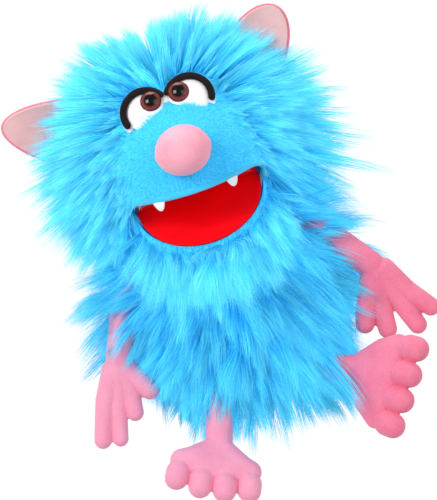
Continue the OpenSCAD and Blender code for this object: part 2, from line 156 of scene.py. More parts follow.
def plush_material(name, dark, light, scale=900, bump=0.25, rough=0.85, sheen=0.15, crease_shade=None, glow=0.0):
    """Short pile: a soft mottle of two tones with a fine nap. A deeper colour in the creases is painted
    shade, and glow is painted light that stands in for light scattered in the pile."""
    m, n, links, b = new_material(name, rough, 0.15, sheen)
    where = n.new("ShaderNodeTexCoord")
    cloud = n.new("ShaderNodeTexNoise")
    cloud.inputs["Scale"].default_value = 45
    cloud.inputs["Detail"].default_value = 3
    nap = n.new("ShaderNodeTexNoise")
    nap.inputs["Scale"].default_value = scale
    nap.inputs["Detail"].default_value = 4
    for t in (cloud, nap):
        links.new(where.outputs["Object"], t.inputs["Vector"])
    mix = n.new("ShaderNodeMath")
    mix.operation = "MULTIPLY_ADD"
    mix.inputs[1].default_value = 0.5
    half = n.new("ShaderNodeMath")
    half.operation = "MULTIPLY"
    half.inputs[1].default_value = 0.5
    links.new(nap.outputs["Fac"], half.inputs[0])
    links.new(cloud.outputs["Fac"], mix.inputs[0])
    links.new(half.outputs[0], mix.inputs[2])
    tone = ramp(n, [(0.35, dark), (0.65, light)])
    links.new(mix.outputs[0], tone.inputs[0])
    links.new(tone.outputs[0], b.inputs["Base Color"])
    if glow:
        links.new(tone.outputs[0], b.inputs["Emission Color"])
        b.inputs["Emission Strength"].default_value = glow
    # Painted shade: a deeper colour laid in the creases, found from the surface's pointiness
    if crease_shade:
        shape_of = n.new("ShaderNodeNewGeometry")
        fold = ramp(n, [(0.40, (1, 1, 1)), (0.495, (0, 0, 0))])
        links.new(shape_of.outputs["Pointiness"], fold.inputs[0])
        both = n.new("ShaderNodeMix")
        both.data_type = "RGBA"
        links.new(fold.outputs[0], both.inputs[0])
        links.new(tone.outputs[0], both.inputs[6])
        both.inputs[7].default_value = (*crease_shade, 1)
        links.new(both.outputs[2], b.inputs["Base Color"])
    bumps = n.new("ShaderNodeBump")
    bumps.inputs["Strength"].default_value = bump
    bumps.inputs["Distance"].default_value = 0.0006
    links.new(nap.outputs["Fac"], bumps.inputs["Height"])
    links.new(bumps.outputs[0], b.inputs["Normal"])
    return m


# Fur colours from tip to root; the darker roots are painted shade deep in the pile
SKY, MID, DEEP = srgb(118, 233, 254), srgb(60, 208, 250), srgb(16, 142, 226)
fur_blue = fur_material("fur_blue", DEEP, MID, SKY)
fur_body = fur_material("fur_body", srgb(8, 126, 216), srgb(42, 190, 245), srgb(98, 224, 253),
                        spread=(0.5, 1.16), painted_glow_range=(0.12, 0.36), deep=0.2)
fur_short = fur_material("fur_short", srgb(64, 202, 250), srgb(76, 214, 253), srgb(94, 226, 255),
                         spread=(0.88, 1.1), painted_glow_range=(0.16, 0.28))
skin_blue = plush_material("skin_blue", srgb(20, 140, 225), srgb(45, 180, 245))
face_blue = plush_material("face_blue", srgb(56, 196, 248), srgb(72, 208, 253), bump=0.1)
# The puppet's left arm and leg, on the far side from the key light, take a deeper copy of the pink: painted
# shade
pink = plush_material("pink_plush_soft", srgb(240, 148, 178), srgb(250, 168, 196), crease_shade=srgb(226, 92, 130))
pink_shaded_side = plush_material("pink_plush_shaded_side", srgb(236, 116, 148), srgb(248, 140, 168),
                           crease_shade=srgb(214, 66, 104))
nose_pink = plush_material("nose_plush_soft", srgb(248, 156, 178), srgb(254, 186, 204))
ear_pale = plush_material("ear_panel", srgb(228, 168, 166), srgb(240, 192, 188))
ear_deep = plush_material("ear_rear", srgb(232, 116, 146), srgb(242, 140, 168))
# Mouth felt: the glow is painted light, and the darker copy for the upper lining is painted shade under the
# roof of the mouth
red_felt = plush_material("red_nap", srgb(232, 0, 12), srgb(255, 0, 20), scale=1500, sheen=0.0, glow=0.12)
red_dark = plush_material("red_nap_shaded", srgb(214, 0, 16), srgb(240, 0, 22), scale=1500, sheen=0.0,
                          glow=0.05)
white_felt = plush_material("white_nap", srgb(240, 238, 242), srgb(252, 250, 252), scale=1500)
black_felt = plush_material("black_nap", srgb(16, 10, 10), srgb(34, 26, 26), scale=1500, sheen=0.05)
lining_grey = plush_material("lining_weave", srgb(160, 160, 168), srgb(200, 200, 206), scale=2000)
stuffing_white = plush_material("stuffing_fibre", srgb(220, 218, 220), srgb(245, 243, 245), scale=300)
board_tan = plush_material("board_fibre", srgb(170, 140, 100), srgb(200, 172, 130), scale=600, sheen=0)
washer_white = plush_material("washer_moulded", srgb(205, 205, 205), srgb(225, 225, 225), scale=3000,
                              rough=0.5, sheen=0)


def eye_material(name, side):
    """Brown ring, black pupil and a clear gloss, all round the plastic eye's own axis."""
    out, up = 0.0134, 0.0079  # from the face's middle and up from the white's middle
    ramp_radius = 0.01
    centre = (side * out, EYE_Y / 1000 + up * EYE_FACING[2], EYE_Z / 1000 - up * EYE_FACING[1])
    m, n, links, b = new_material(name, 0.07, 0.35)
    where = n.new("ShaderNodeTexCoord")
    off = n.new("ShaderNodeVectorMath")
    off.operation = "SUBTRACT"
    off.inputs[1].default_value = centre
    links.new(where.outputs["Object"], off.inputs[0])
    cross = n.new("ShaderNodeVectorMath")
    cross.operation = "CROSS_PRODUCT"
    cross.inputs[1].default_value = EYE_FACING
    links.new(off.outputs[0], cross.inputs[0])
    length = n.new("ShaderNodeVectorMath")
    length.operation = "LENGTH"
    links.new(cross.outputs[0], length.inputs[0])
    scale = n.new("ShaderNodeMath")
    scale.operation = "MULTIPLY"
    scale.inputs[1].default_value = 1 / ramp_radius
    links.new(length.outputs["Value"], scale.inputs[0])
    tone = ramp(n, [(0.0, srgb(8, 5, 6)), (0.55, srgb(10, 6, 6)), (0.62, srgb(96, 40, 34)),
                    (0.8, srgb(134, 62, 52)), (0.97, srgb(84, 34, 30))])
    links.new(scale.outputs[0], tone.inputs[0])
    links.new(tone.outputs[0], b.inputs["Base Color"])
    return m


# ---- Meshes ----
def make(name, verts, faces, mats, uv=None, shade=True):
    """Mesh object from millimetre vertices (n, 3) and faces (m, 3 or 4)."""
    verts, faces = np.asarray(verts, np.float64), np.asarray(faces, np.int32)
    mesh = bpy.data.meshes.new(name)
    k = faces.shape[1]
    mesh.vertices.add(len(verts))
    mesh.vertices.foreach_set("co", (verts * 0.001).ravel())
    mesh.loops.add(faces.size)
    mesh.loops.foreach_set("vertex_index", faces.ravel())
    mesh.polygons.add(len(faces))
    mesh.polygons.foreach_set("loop_start", np.arange(len(faces), dtype=np.int32) * k)
    mesh.update(calc_edges=True)
    mesh.polygons.foreach_set("use_smooth", np.full(len(faces), shade))
    if uv is not None:
        layer = mesh.uv_layers.new(name="OFBake")
        layer.data.foreach_set("uv", np.asarray(uv, np.float32)[faces.ravel()].ravel())
    for m in mats:
        mesh.materials.append(m)
    mesh.validate()
    o = bpy.data.objects.new(name, mesh)
    scene.collection.objects.link(o)
    return o


def grid_faces(rows, cols, wrap=False):
    """Quads of a grid of vertices, rows by cols; wrap joins the last column to the first."""
    c = np.arange(cols if wrap else cols - 1)
    r = np.arange(rows - 1)[:, None]
    d = (c + 1) % cols
    return np.stack([r * cols + c, r * cols + d, (r + 1) * cols + d, (r + 1) * cols + c], -1).reshape(-1, 4)


def shape(o):
    """Vertices in millimetres and triangles of an object as it now is."""
    mesh = o.data
    mesh.calc_loop_triangles()
    v = np.empty(len(mesh.vertices) * 3)
    mesh.vertices.foreach_get("co", v)
    t = np.empty(len(mesh.loop_triangles) * 3, np.int32)
    mesh.loop_triangles.foreach_get("vertices", t)
    return v.reshape(-1, 3) * 1000, t.reshape(-1, 3)


def modified(o, *mods):
    """Applies modifiers given as (type, settings)."""
    for kind, settings in mods:
        m = o.modifiers.new(kind.lower(), kind)
        for k, v in settings.items():
            setattr(m, k, v)
    mesh = bpy.data.meshes.new_from_object(o.evaluated_get(bpy.context.evaluated_depsgraph_get()))
    mats = list(o.data.materials)
    o.modifiers.clear()
    o.data = mesh
    mesh.materials.clear()
    for m in mats:
        mesh.materials.append(m)
    mesh.polygons.foreach_set("use_smooth", np.full(len(mesh.polygons), True))
    return o


def scatter(o, count, keep=None, seed=1):
    """Random points on an object with their smooth normals; keep(points) gives the share kept."""
    v, t = shape(o)
    r = np.random.default_rng(seed)
    e1, e2 = v[t[:, 1]] - v[t[:, 0]], v[t[:, 2]] - v[t[:, 0]]
    fn = np.cross(e1, e2)
    area = np.linalg.norm(fn, axis=1)
    vn = np.zeros_like(v)
    for i in range(3):
        np.add.at(vn, t[:, i], fn)
    vn = unit(vn)
    if keep is not None:
        area = area * keep(v[t].mean(1))
    pick = r.choice(len(t), count, p=area / area.sum())
    a, b = r.random(count), r.random(count)
    flip = a + b > 1
    a[flip], b[flip] = 1 - a[flip], 1 - b[flip]
    w = np.stack([1 - a - b, a, b], 1)[:, :, None]
    return (v[t[pick]] * w).sum(1), unit((vn[t[pick]] * w).sum(1))


def nearest(roots, points):
    """Index of the closest root to each point."""
    tree = KDTree(len(roots))
    for i, p in enumerate(roots):
        tree.insert(p, i)
    tree.balance()
    return np.array([tree.find(p)[1] for p in points])


def fur(name, body, o, mat, count, locks, length, flow, lift, keep=None, droop=0.35, wave=0.1, width=0.5,
        gather=0.75, segments=4, seed=3, wild=0.25, sink=1.0):
    """Strands as tapered ribbons. Locks share a guide; strands gather towards their lock's tip.

    length(p), lift(p) and flow(p, n) are functions of the root points p and their normals n, and
    keep(p) is the share kept. wild sets how far the locks stray from the flow, droop how far they
    hang, wave how much they curl, and sink how deep the roots sit."""
    r = np.random.default_rng(seed)
    lp, ln = scatter(o, locks, keep, seed)
    sp, sn = scatter(o, count, keep, seed + 50)
    own = nearest(lp, sp)
    lock_len = r.normal(1, 0.19, locks).clip(0.55, 1.5)
    lock_dir = r.normal(0, 1, (locks, 3)) * wild
    lock_shade = r.random(locks)
    phase = r.random((locks, 3)) * 6.28
    freq = r.uniform(2.2, 5, (locks, 1))

    def grow(p, n, who, jitter, len_scale):
        """Points along each strand, root first; who is its lock."""
        full = (length(p) * lock_len[who] * len_scale)[:, None]
        d0 = unit(flow(p, n) + n * lift(p)[:, None] + lock_dir[who] + jitter)
        pos = p - n * sink
        pts = [pos]
        for s in range(segments):
            t = (s + 0.5) / segments
            sway = np.sin(phase[who] + freq[who] * t * 2.2) * wave * (0.4 + t)
            d = unit(d0 + DOWN * droop * t * 1.4 + sway)
            into = np.minimum((d * n).sum(1, keepdims=True), 0)
            d = unit(d - n * into * 0.85 + n * 0.03)
            pos = pos + d * full / segments
            pts.append(pos)
        return np.stack(pts, 1)

    guides = grow(lp, ln, np.arange(locks), 0, np.ones(locks))
    jit = r.normal(0, 1, (count, 3)) * wild * 0.35
    mine = grow(sp, sn, own, jit, r.uniform(0.72, 1.05, count))
    t = (np.arange(segments + 1) / segments)[None, :, None]
    pull = gather * r.uniform(0.55, 1.0, (count, 1, 1)) * t ** 1.3
    spread = r.normal(0, 1, (count, 1, 3)) * 1.6 * t
    pts = mine * (1 - pull) + (guides[own] + spread) * pull
    for axis, low, high in STRAND_BOX:
        root, tip = pts[:, :1, axis], pts[:, -1:, axis]
        run = np.where(np.abs(tip - root) > 1, tip - root, np.inf)
        share = np.where(np.isinf(run), 1, (np.clip(tip, low, high) - root) / run)
        pts = pts[:, :1] + (pts - pts[:, :1]) * np.clip(share, 0.2, 1)[:, :, None]
    # ribbons face away from the skin, each twisted a little
    d = unit(np.diff(pts, axis=1, append=pts[:, -1:] * 2 - pts[:, -2:-1]))
    side = unit(np.cross(d, sn[:, None, :]) + 1e-6)
    face = np.cross(side, d)
    twist = r.normal(0, 0.6, (count, 1, 1))
    side = side * np.cos(twist) + face * np.sin(twist)
    w = width * r.uniform(0.6, 1.25, (count, 1, 1)) * (1 - 0.8 * t ** 1.5) * 0.5
    left, right = (pts - side * w)[:, :-1], (pts + side * w)[:, :-1]
    k = 2 * segments + 1
    verts = np.empty((count, k, 3))
    verts[:, 0:-1:2], verts[:, 1:-1:2], verts[:, -1] = left, right, pts[:, -1]
    tris = []
    for s in range(segments - 1):
        a = 2 * s
        tris += [(a, a + 1, a + 3), (a, a + 3, a + 2)]
    tris.append((2 * segments - 2, 2 * segments - 1, 2 * segments))
    faces = (np.array(tris)[None] + (np.arange(count) * k)[:, None, None]).reshape(-1, 3)
    uv = np.empty((count, k, 2))
    uv[:, :, 0] = np.clip(lock_shade[own] * 0.5 + r.random(count) * 0.5, 0.01, 0.99)[:, None]
    level = np.repeat(np.arange(segments) / segments, 2)
    uv[:, :, 1] = np.append(level, 0.99)[None] * 0.97 + 0.01
    out = make(name, verts.reshape(-1, 3), faces, [mat], uv.reshape(-1, 2), shade=False)
    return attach(out, body)


# ---- Head: one surface for the round head and the muzzle ----
BLEND = 5.0  # roundness of the valley between head and muzzle


def head_radius(d):
    """Distance of the surface from the head's centre in unit direction d."""
    to_muzzle = MUZZLE - HEAD
    b = d @ to_muzzle
    muzzle = b + np.sqrt(np.maximum(b * b - to_muzzle @ to_muzzle + MUZZLE_R ** 2, 1))
    return np.maximum(HEAD_R, muzzle) + BLEND * np.log1p(np.exp(-np.abs(HEAD_R - muzzle) / BLEND)) - 1.0


def lip_z(x):
    """Height of the upper lip's edge."""
    return 189.6 + 7.6 * (np.abs(x) / 58) ** 2


def head_surface(name, rows, cols, mat):
    """Closed head skin, cut away above the open mouth."""
    th = np.linspace(0.02, math.pi - 0.02, rows)[:, None]
    ph = np.linspace(0, 2 * math.pi, cols, endpoint=False)[None]
    d = np.stack([np.sin(th) * np.sin(ph), -np.sin(th) * np.cos(ph), np.cos(th) + 0 * ph], -1).reshape(-1, 3)
    p = HEAD + d * head_radius(d)[:, None]
    room = smooth(-p[:, 1], 10, 24) * (1 - smooth(np.abs(p[:, 0]), 60, 68))
    lift = np.maximum(np.maximum(lip_z(p[:, 0]) + 1.0, 193.4) - p[:, 2], 0)
    p[:, 2] += lift * room
    return make(name, p, grid_faces(rows, cols, True)[:, ::-1], [mat])


head_skin = head_surface("head_cover", 120, 160, face_blue)
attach(head_skin, "head")
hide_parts("head_fur_front", "head_fur_back", "muzzle_cover")


def from_muzzle(p):
    """Distance from the muzzle's axis, in the plane of the face."""
    return np.hypot(p[:, 0], p[:, 2] - MUZZLE[2])


def from_eye(p):
    """Distance from the middle of the nearer eye, in the plane of the face."""
    return np.hypot(np.abs(p[:, 0]) - EYE_X, p[:, 2] - EYE_Z)


def open_face(p):
    """1 where long fur grows on the head: not on the muzzle, the eyes or the mouth."""
    front = p[:, 1] < -25
    muzzle = smooth(from_muzzle(p), 50, 70)
    eyes = smooth(from_eye(p), 23, 25.5)
    room = (p[:, 2] < lip_z(p[:, 0]) + 3) & (np.abs(p[:, 0]) < 63) & (p[:, 1] < -12)
    neck = (np.hypot(p[:, 0], p[:, 1]) < 44) & (p[:, 2] < 175)
    return np.where(front, np.minimum(muzzle, eyes), 1.0) * (~room) * (~neck)


def head_length(p):
    """Short round the muzzle and the eyes, shorter in the parting and behind, longest at the cheeks."""
    near = 9 + 55 * np.minimum(smooth(from_muzzle(p), 54, 88), smooth(from_eye(p), 22, 33))
    low = smooth(-p[:, 2], -265, -190)
    crown = smooth(p[:, 2], 280, 312)
    parting = np.exp(-(p[:, 0] / 15) ** 2)
    cheek = 18 * smooth(p[:, 0], 30, 75) + 10 * smooth(-p[:, 0], 30, 75)
    full = 54 - crown * (2 + 14 * parting) + 14 * low + cheek * smooth(-p[:, 2], -300, -240)
    full -= 20 * smooth(p[:, 1], 20, 70)
    return np.where(p[:, 1] < -25, np.minimum(near, full), full)


def along_skin(f, n):
    """Directions f laid flat on a skin with normals n."""
    f = unit(f)
    f -= n * (f * n).sum(1, keepdims=True)
    return unit(f)


def head_flow(p, n):
    """Combed away from between the eyes, parted in the middle on top, out and down at the cheeks."""
    f = p - np.array([0, -96, 272.0])
    top = smooth(p[:, 2], 285, 315)
    f[:, 0] += np.sign(p[:, 0]) * 26 * top
    f[:, 2] += 10 * top
    low = smooth(-p[:, 2], -240, -170)
    f[:, 0] += np.sign(p[:, 0]) * 30 * low
    return along_skin(f, n)


def head_lift(p):
    """How steeply the fur stands up: most at the sides and on the crown."""
    front = smooth(-p[:, 1], 20, 80)
    side = smooth(np.abs(p[:, 0]), 50, 80)
    rear = smooth(p[:, 1], 20, 70)
    return 0.8 - 0.45 * front + 0.5 * side - 0.35 * rear + 0.8 * smooth(p[:, 2], 282, 312)


for side, name in SIDES:
    fur(f"head_fur_front_pile_{name}", "head", head_skin, fur_blue, 20000, 1150,
        head_length, head_flow, head_lift, keep=lambda p: open_face(p) * (p[:, 1] < 8) * (p[:, 0] * side > 0),
        droop=0.18, wave=0.06, gather=0.6, seed=5 + side, wild=0.2, width=0.75)
fur("head_fur_rear_pile", "head", head_skin, fur_blue, 24000, 900, head_length, head_flow, head_lift,
    keep=lambda p: open_face(p) * (p[:, 1] >= 8), droop=0.3, wave=0.08, width=0.85, seed=6, wild=0.2)


def muzzle_area(p):
    """1 where the short nap grows: round the nose, below the eyes and above the lip."""
    eyes = (from_eye(p) >= 23) | (p[:, 2] <= 268)
    nose = np.hypot(p[:, 0] / 25, (p[:, 2] - NOSE[2]) / 22) > 1
    above_lip = p[:, 2] > np.maximum(lip_z(p[:, 0]) + 1.9, 194)
    return (from_muzzle(p) < 74) * (p[:, 1] < -50) * above_lip * eyes * nose * 1.0


def muzzle_flow(p, n):
    """Away from the nose and a little down."""
    f = unit(p - np.array([0, -150, 240.0]))
    f[:, 2] -= 0.25
    return along_skin(f, n)


fur("muzzle_nap", "head", head_skin, fur_short, 36000, 6000,
    lambda p: 2.6 + 5 * smooth(from_muzzle(p), 48, 72), muzzle_flow, lambda p: np.full(len(p), 0.9),
    keep=muzzle_area, droop=0.1, wave=0.02, width=0.4, gather=0.2, segments=2, seed=8, wild=0.3, sink=0.3)


# The lip's rolled edge
LIP_X, LIP_BACK, LIP_BEND, LIP_BEND_R = 60.0, -22, -52, 60.2  # straight sides, then a bend in front
LIP_HALF_W, LIP_HALF_H, LIP_SECTION, LIP_END = 2.2, 3.0, 14, 6
path = [(-LIP_X, y) for y in np.linspace(LIP_BACK, LIP_BEND, 12)]
path += [(LIP_BEND_R * math.cos(t), MUZZLE[1] + LIP_BEND_R * math.sin(t))
         for t in np.linspace(math.pi, 2 * math.pi, 90)]
path += [(LIP_X, y) for y in np.linspace(LIP_BEND, LIP_BACK, 12)]
path = np.array([(x, y, lip_z(x) + 2.0) for x, y in path])
across = unit(np.cross(unit(np.gradient(path, axis=0)), [0, 0, 1.0]))
around = np.linspace(0, 2 * math.pi, LIP_SECTION, endpoint=False)[None, :, None]
step = np.arange(len(path))
taper = np.sqrt(np.clip(np.minimum(step, step[-1] - step) / LIP_END, 0.01, 1))[:, None, None]
ring = path[:, None] + taper * (LIP_HALF_W * across[:, None] * np.cos(around)
                                + np.array([0, 0, LIP_HALF_H]) * np.sin(around))
lip = make("lip_edge", ring.reshape(-1, 3), grid_faces(len(path), LIP_SECTION, True), [face_blue])
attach(lip, "head")


# ---- Jaw: drawn closed in the fold's frame, then opened ----
def jaw(p):
    """The fold's frame to the puppet's, with the mouth open."""
    p = np.array(p, float)
    c, s = math.cos(JAW), math.sin(JAW)
    y, z = p[:, 1].copy(), p[:, 2].copy()
    p[:, 1], p[:, 2] = y * c - z * s, y * s + z * c
    return p + FOLD


def bowl(w, length, depth, start, rows=24, cols=72):
    """Half-elliptic bowl below the fold's plane, from its rim to its middle; start is its back end."""
    a = np.linspace(math.pi, 2 * math.pi, cols)[None]
    v = np.linspace(0, 1, rows)[:, None]
    k = np.cos(v * math.pi / 2 * 0.985)
    x = w * k * np.cos(a)
    y = np.minimum(length * k * np.sin(a), -start)
    z = -depth * np.sin(v * math.pi / 2) + 0 * a
    return np.stack([x, y, z], -1).reshape(-1, 3), grid_faces(rows, cols)[:, ::-1]


chin_v, chin_f = bowl(62.5, 94.5, 30, start=10)
chin_skin = make("chin_cover_plush", jaw(chin_v), chin_f, [face_blue])
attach(chin_skin, "jaw")
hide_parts("chin_cover")


def chin_rim(p):
    """Depth below the lip, in the fold's frame."""
    q = p - FOLD
    return q[:, 1] * math.sin(JAW) - q[:, 2] * math.cos(JAW)


def chin_flow(p, n):
    """Out from the throat, and down."""
    f = p - np.array([0, -45, 200.0])
    f[:, 1] *= 0.35
    f[:, 0] *= 0.8
    f[:, 2] -= 12
    return along_skin(f, n)


fur("chin_fur_pile", "jaw", chin_skin, fur_blue, 26000, 1000,
    lambda p: 10 + 56 * smooth(chin_rim(p), 3, 19), chin_flow,
    lambda p: 0.35 + 0 * p[:, 0], keep=lambda p: (chin_rim(p) > 3) * (p[:, 1] < -24), droop=0.5, seed=9,
    width=0.75, gather=0.65, wave=0.08)
fur("chin_nap", "jaw", chin_skin, fur_short, 12000, 1200,
    lambda p: 3.5 + 9 * smooth(chin_rim(p), 2, 12), chin_flow,
    lambda p: 0.7 + 0 * p[:, 0], keep=lambda p: (chin_rim(p) < 14) * (p[:, 1] < -24), droop=0.1, wave=0.02,
    width=0.5, gather=0.3, segments=2, seed=10, sink=0.3)


FELT = 0.0016  # thickness


def mouth_sheet(name, w, length, z_of, mat, to_puppet, rows=26, cols=60):
    """D-shaped sheet from the fold to the lip; z_of(x, y) is its height in the fold's frame."""
    a = np.linspace(math.pi, 2 * math.pi, cols)[None]
    v = np.linspace(1, 0, rows)[:, None]
    x = w * np.cos(a) * v + 0 * a
    y = -2.5 + length * np.sin(a) * v
    verts = to_puppet(np.stack([x, y, z_of(x, y)], -1).reshape(-1, 3))
    sheet = make(name, verts, grid_faces(rows, cols), [mat])
    return modified(sheet, ("SOLIDIFY", {"thickness": FELT, "offset": 0}))


def upper_height(x, y):
    """Higher towards the corners of the mouth."""
    return 4.5 * (np.abs(x) / 58) ** 2.2 * np.clip(-(y + 2) / 30, 0, 1)


def lower_height(x, y):
    """Hollowed along the middle, less so at the fold and the lip."""
    return 0.9 - 3.2 * (1 - (x / 60) ** 2) * np.clip(-y / 60, 0, 1) * np.clip((92 + y) / 40, 0, 1)


# The upper lining takes the darker red: painted shade under the roof of the mouth
upper = mouth_sheet("upper_mouth_felt", 58.5, 90, upper_height, red_dark, lambda p: p + FOLD)
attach(upper, "head")
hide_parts("upper_mouth_lining", "mouth_fold")
lower = mouth_sheet("lower_mouth_felt", 60, 91.5, lower_height, red_felt, jaw)
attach(lower, "jaw")
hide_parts("lower_mouth_lining")


# ---- Body ----
def body_surface(name, mat, rows=60, cols=120):
    """Open tube under the fur, lower in front where the jaw is."""
    levels = [6, 30, 60, 95, 120, 138, 152]
    z = np.linspace(levels[0], levels[-1], rows)[:, None]
    a = np.linspace(0, 2 * math.pi, cols, endpoint=False)[None]
    w = np.interp(z, levels, [78, 88, 90, 88, 84, 70, 50])
    d = np.interp(z, levels, [56, 62, 60, 50, 46, 44, 44])
    x = w * np.sign(np.cos(a)) * np.abs(np.cos(a)) ** 0.85
    y = d * np.sign(np.sin(a)) * np.abs(np.sin(a)) ** 0.9
    top = -30 * smooth(-y, 0, 40) * smooth(z, 100, 152)
    verts = np.stack([x, y, z + top + 0 * a], -1).reshape(-1, 3)
    return make(name, verts, grid_faces(rows, cols, True), [mat])


body_skin = body_surface("body_cover", skin_blue)
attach(body_skin, "torso")
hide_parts("body_fur_front", "body_fur_back")


def body_flow(p, n):
    """Down, and a little away from the middle."""
    f = np.stack([p[:, 0] * 0.012, 0 * p[:, 0] - 0.1 * (p[:, 1] < 0), np.full(len(p), -1.0)], -1)
    f[:, 0] += np.sign(p[:, 0]) * 0.15
    return along_skin(f, n)


def under_jaw(p):
    """1 at the top of the chest, where the jaw swings down."""
    return smooth(p[:, 2], 84, 100) * smooth(-p[:, 1], 5, 25) * (1 - smooth(np.abs(p[:, 0]), 52, 70))


def body_length(p):
    """Longest on the chest and shoulders, shorter over the puppet's right hand, at the hem and behind."""
    hem = 1 - smooth(p[:, 2], 20, 60)
    full = 64 - 7 * hem + 8 * np.sin(p[:, 0] * 0.05)
    full += hem * (6 * smooth(p[:, 0], 10, 60) - 24 * smooth(-p[:, 0], 40, 80))
    full -= 14 * smooth(-p[:, 0], 40, 68) * (1 - smooth(p[:, 2], 80, 112)) * (p[:, 1] < 0)
    edge = smooth(np.abs(p[:, 0]), 58, 84)
    high = smooth(p[:, 2], 62, 105)
    return np.maximum(full + edge * (8 * high - 20 * (1 - high)) - 14 * smooth(p[:, 1], 15, 45), 18)


def body_lift(p):
    """How steeply the fur stands up: most on the shoulders, little under the jaw and behind."""
    shoulder = smooth(np.abs(p[:, 0]), 45, 85) * smooth(p[:, 2], 62, 105)
    top = smooth(p[:, 2], 95, 125) * (1 - under_jaw(p))
    return 0.28 + shoulder + 0.5 * top - 0.15 * smooth(p[:, 1], 15, 45)


for side, name in SIDES:
    fur(f"body_fur_front_pile_{name}", "torso", body_skin, fur_body, 17000, 560,
        body_length, body_flow, body_lift,
        keep=lambda p: (p[:, 1] < 10) * (p[:, 0] * side > 0)
        * ((np.abs(p[:, 0]) < 76) | (p[:, 1] > -6) | (p[:, 2] > 104)), droop=0.42, wave=0.12, gather=0.62,
        seed=12 + side, wild=0.26, width=0.8)
fur("body_fur_rear_pile", "torso", body_skin, fur_body, 22000, 600, body_length, body_flow, body_lift,
    keep=lambda p: (p[:, 1] >= 10) * 1.0, droop=0.45, wave=0.12, seed=13, width=0.9, wild=0.3)


def ruff_flow(p, n):
    """Up and forwards, to close the gap under the head."""
    return np.tile([0.0, -0.35, 1.0], (len(p), 1))


fur("neck_ruff_pile", "torso", body_skin, fur_body, 6000, 260, lambda p: 34 - 22 * under_jaw(p), ruff_flow,
    lambda p: 0.25 + 0 * p[:, 0], keep=lambda p: (p[:, 2] > 100) * (p[:, 1] < 8) * 1.0, droop=0.0,
    wave=0.1, seed=14, wild=0.25, width=0.8)


def paint(node, mat):
    """Shows a CAD node as it is, in a material."""
    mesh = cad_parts[node].data
    mesh.materials.clear()
    mesh.materials.append(mat)


# ---- Eyes ----
EYE_TILT = math.radians(75)  # of the eye's plane, from the floor


def at_eye(p, side):
    """Eye frame (outwards, up, out of the face) to the puppet's frame."""
    c, s = math.cos(EYE_TILT), math.sin(EYE_TILT)
    return np.stack([side * (EYE_X + p[:, 0]), EYE_Y + p[:, 1] * c - p[:, 2] * s,
                     EYE_Z + p[:, 1] * s + p[:, 2] * c], -1)


def domed_disc(r, h, rows=18, cols=72):
    """Pillow of radius r and height h, in the eye frame."""
    v = np.linspace(0.001, 1, rows)[:, None]
    a = np.linspace(0, 2 * math.pi, cols, endpoint=False)[None]
    verts = np.stack([r * v * np.cos(a), r * v * np.sin(a), h * (1 - v ** 4) + 0 * a], -1)
    return verts.reshape(-1, 3), grid_faces(rows, cols, True)


def band(r0, r1, a0, a1, h, rows=12, cols=90):
    """Rounded band along an arc, in the eye frame, narrowing at its outer end."""
    u = np.linspace(0, 2 * math.pi, rows, endpoint=False)[:, None]
    a = np.radians(np.linspace(a0, a1, cols))[None]
    along = np.linspace(0, 1, cols)[None]
    end = np.clip(np.minimum(along, 1 - along) / 0.04, 0.0, 1) ** 0.5
    half, mid = (r1 - r0) / 2 * end, (r0 + r1) / 2
    r = mid + half * np.sign(np.cos(u)) * np.abs(np.cos(u)) ** 0.6
    z = 1.8 + h * np.sin(u) * end
    v = np.stack([r * np.cos(a), r * np.sin(a), z], -1)
    return v.transpose(1, 0, 2).reshape(-1, 3), grid_faces(cols, rows, True)


for side, name in SIDES:
    v, f = domed_disc(r=18.2, h=3.4)
    white = make(f"eye_white_pad_{name}", at_eye(v, side), f[:, ::side], [white_felt])
    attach(white, "head")
    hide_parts(f"eye_white_{name}")
    v, f = band(r0=17.6, r1=24.2, a0=-28, a1=156, h=2.2)
    rim = make(f"eye_rim_felt_{name}", at_eye(v, side), f[:, ::side], [black_felt])
    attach(rim, "head")
    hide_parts(f"eye_rim_{name}")
    paint(f"safety_eye_{name}", eye_material(f"plastic_eye_{name}", side))


# ---- Nose ----
def sphere(rows, cols, pole):
    """Unit directions and faces of a ball, open by the angle pole at both ends."""
    th = np.linspace(pole, math.pi - pole, rows)[:, None]
    ph = np.linspace(0, 2 * math.pi, cols, endpoint=False)[None]
    d = np.stack([np.sin(th) * np.cos(ph), np.sin(th) * np.sin(ph), np.cos(th) + 0 * ph], -1)
    return d.reshape(-1, 3), grid_faces(rows, cols, True)


NOSE_HALF = np.array([25.2, 24, 22.6])
d, f = sphere(48, 72, 0.01)
seam = 1 + 0.035 * np.exp(-(d[:, 2] / 0.16) ** 2) * np.abs(d[:, 0]) ** 3
nose = make("nose_plush_ball", NOSE + d * NOSE_HALF * seam[:, None], f, [nose_pink])
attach(nose, "head")
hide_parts("nose_cover", "nose_filling")

# ---- Fangs ----
FANG_HALF_W, FANG_HALF_T, FANG_LONG = 7.2, 2.1, 12.5
FANG_REACH, FANG_TOP = 59.5, 196.2  # from the muzzle's middle, and its height


def fang_shape(turn, rows=14, cols=24):
    """Round-tipped felt tooth hanging from the lip, turn round the muzzle from the middle."""
    v = np.linspace(0.02, 1, rows)[:, None]
    a = np.linspace(0, 2 * math.pi, cols, endpoint=False)[None]
    half = FANG_HALF_W * np.sqrt(1 - v ** 2.4 * 0.985) * (0.9 + 0.1 * np.cos(v * 3))
    x = half * np.cos(a)
    y = FANG_HALF_T * np.sin(a) * np.sqrt(1 - v ** 4 * 0.98) - FANG_REACH
    z = -FANG_LONG * v + 0 * a
    c, s = math.cos(turn), math.sin(turn)
    verts = np.stack([x * c - y * s, x * s + y * c, z], -1).reshape(-1, 3)
    return verts + np.array([0, MUZZLE[1], FANG_TOP]), grid_faces(rows, cols, True)


for name, degrees in (("left", 34), ("right", -37)):
    fang = make(f"fang_felt_{name}", *fang_shape(math.radians(degrees)), [white_felt])
    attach(fang, "head")
    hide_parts(f"fang_{name}")


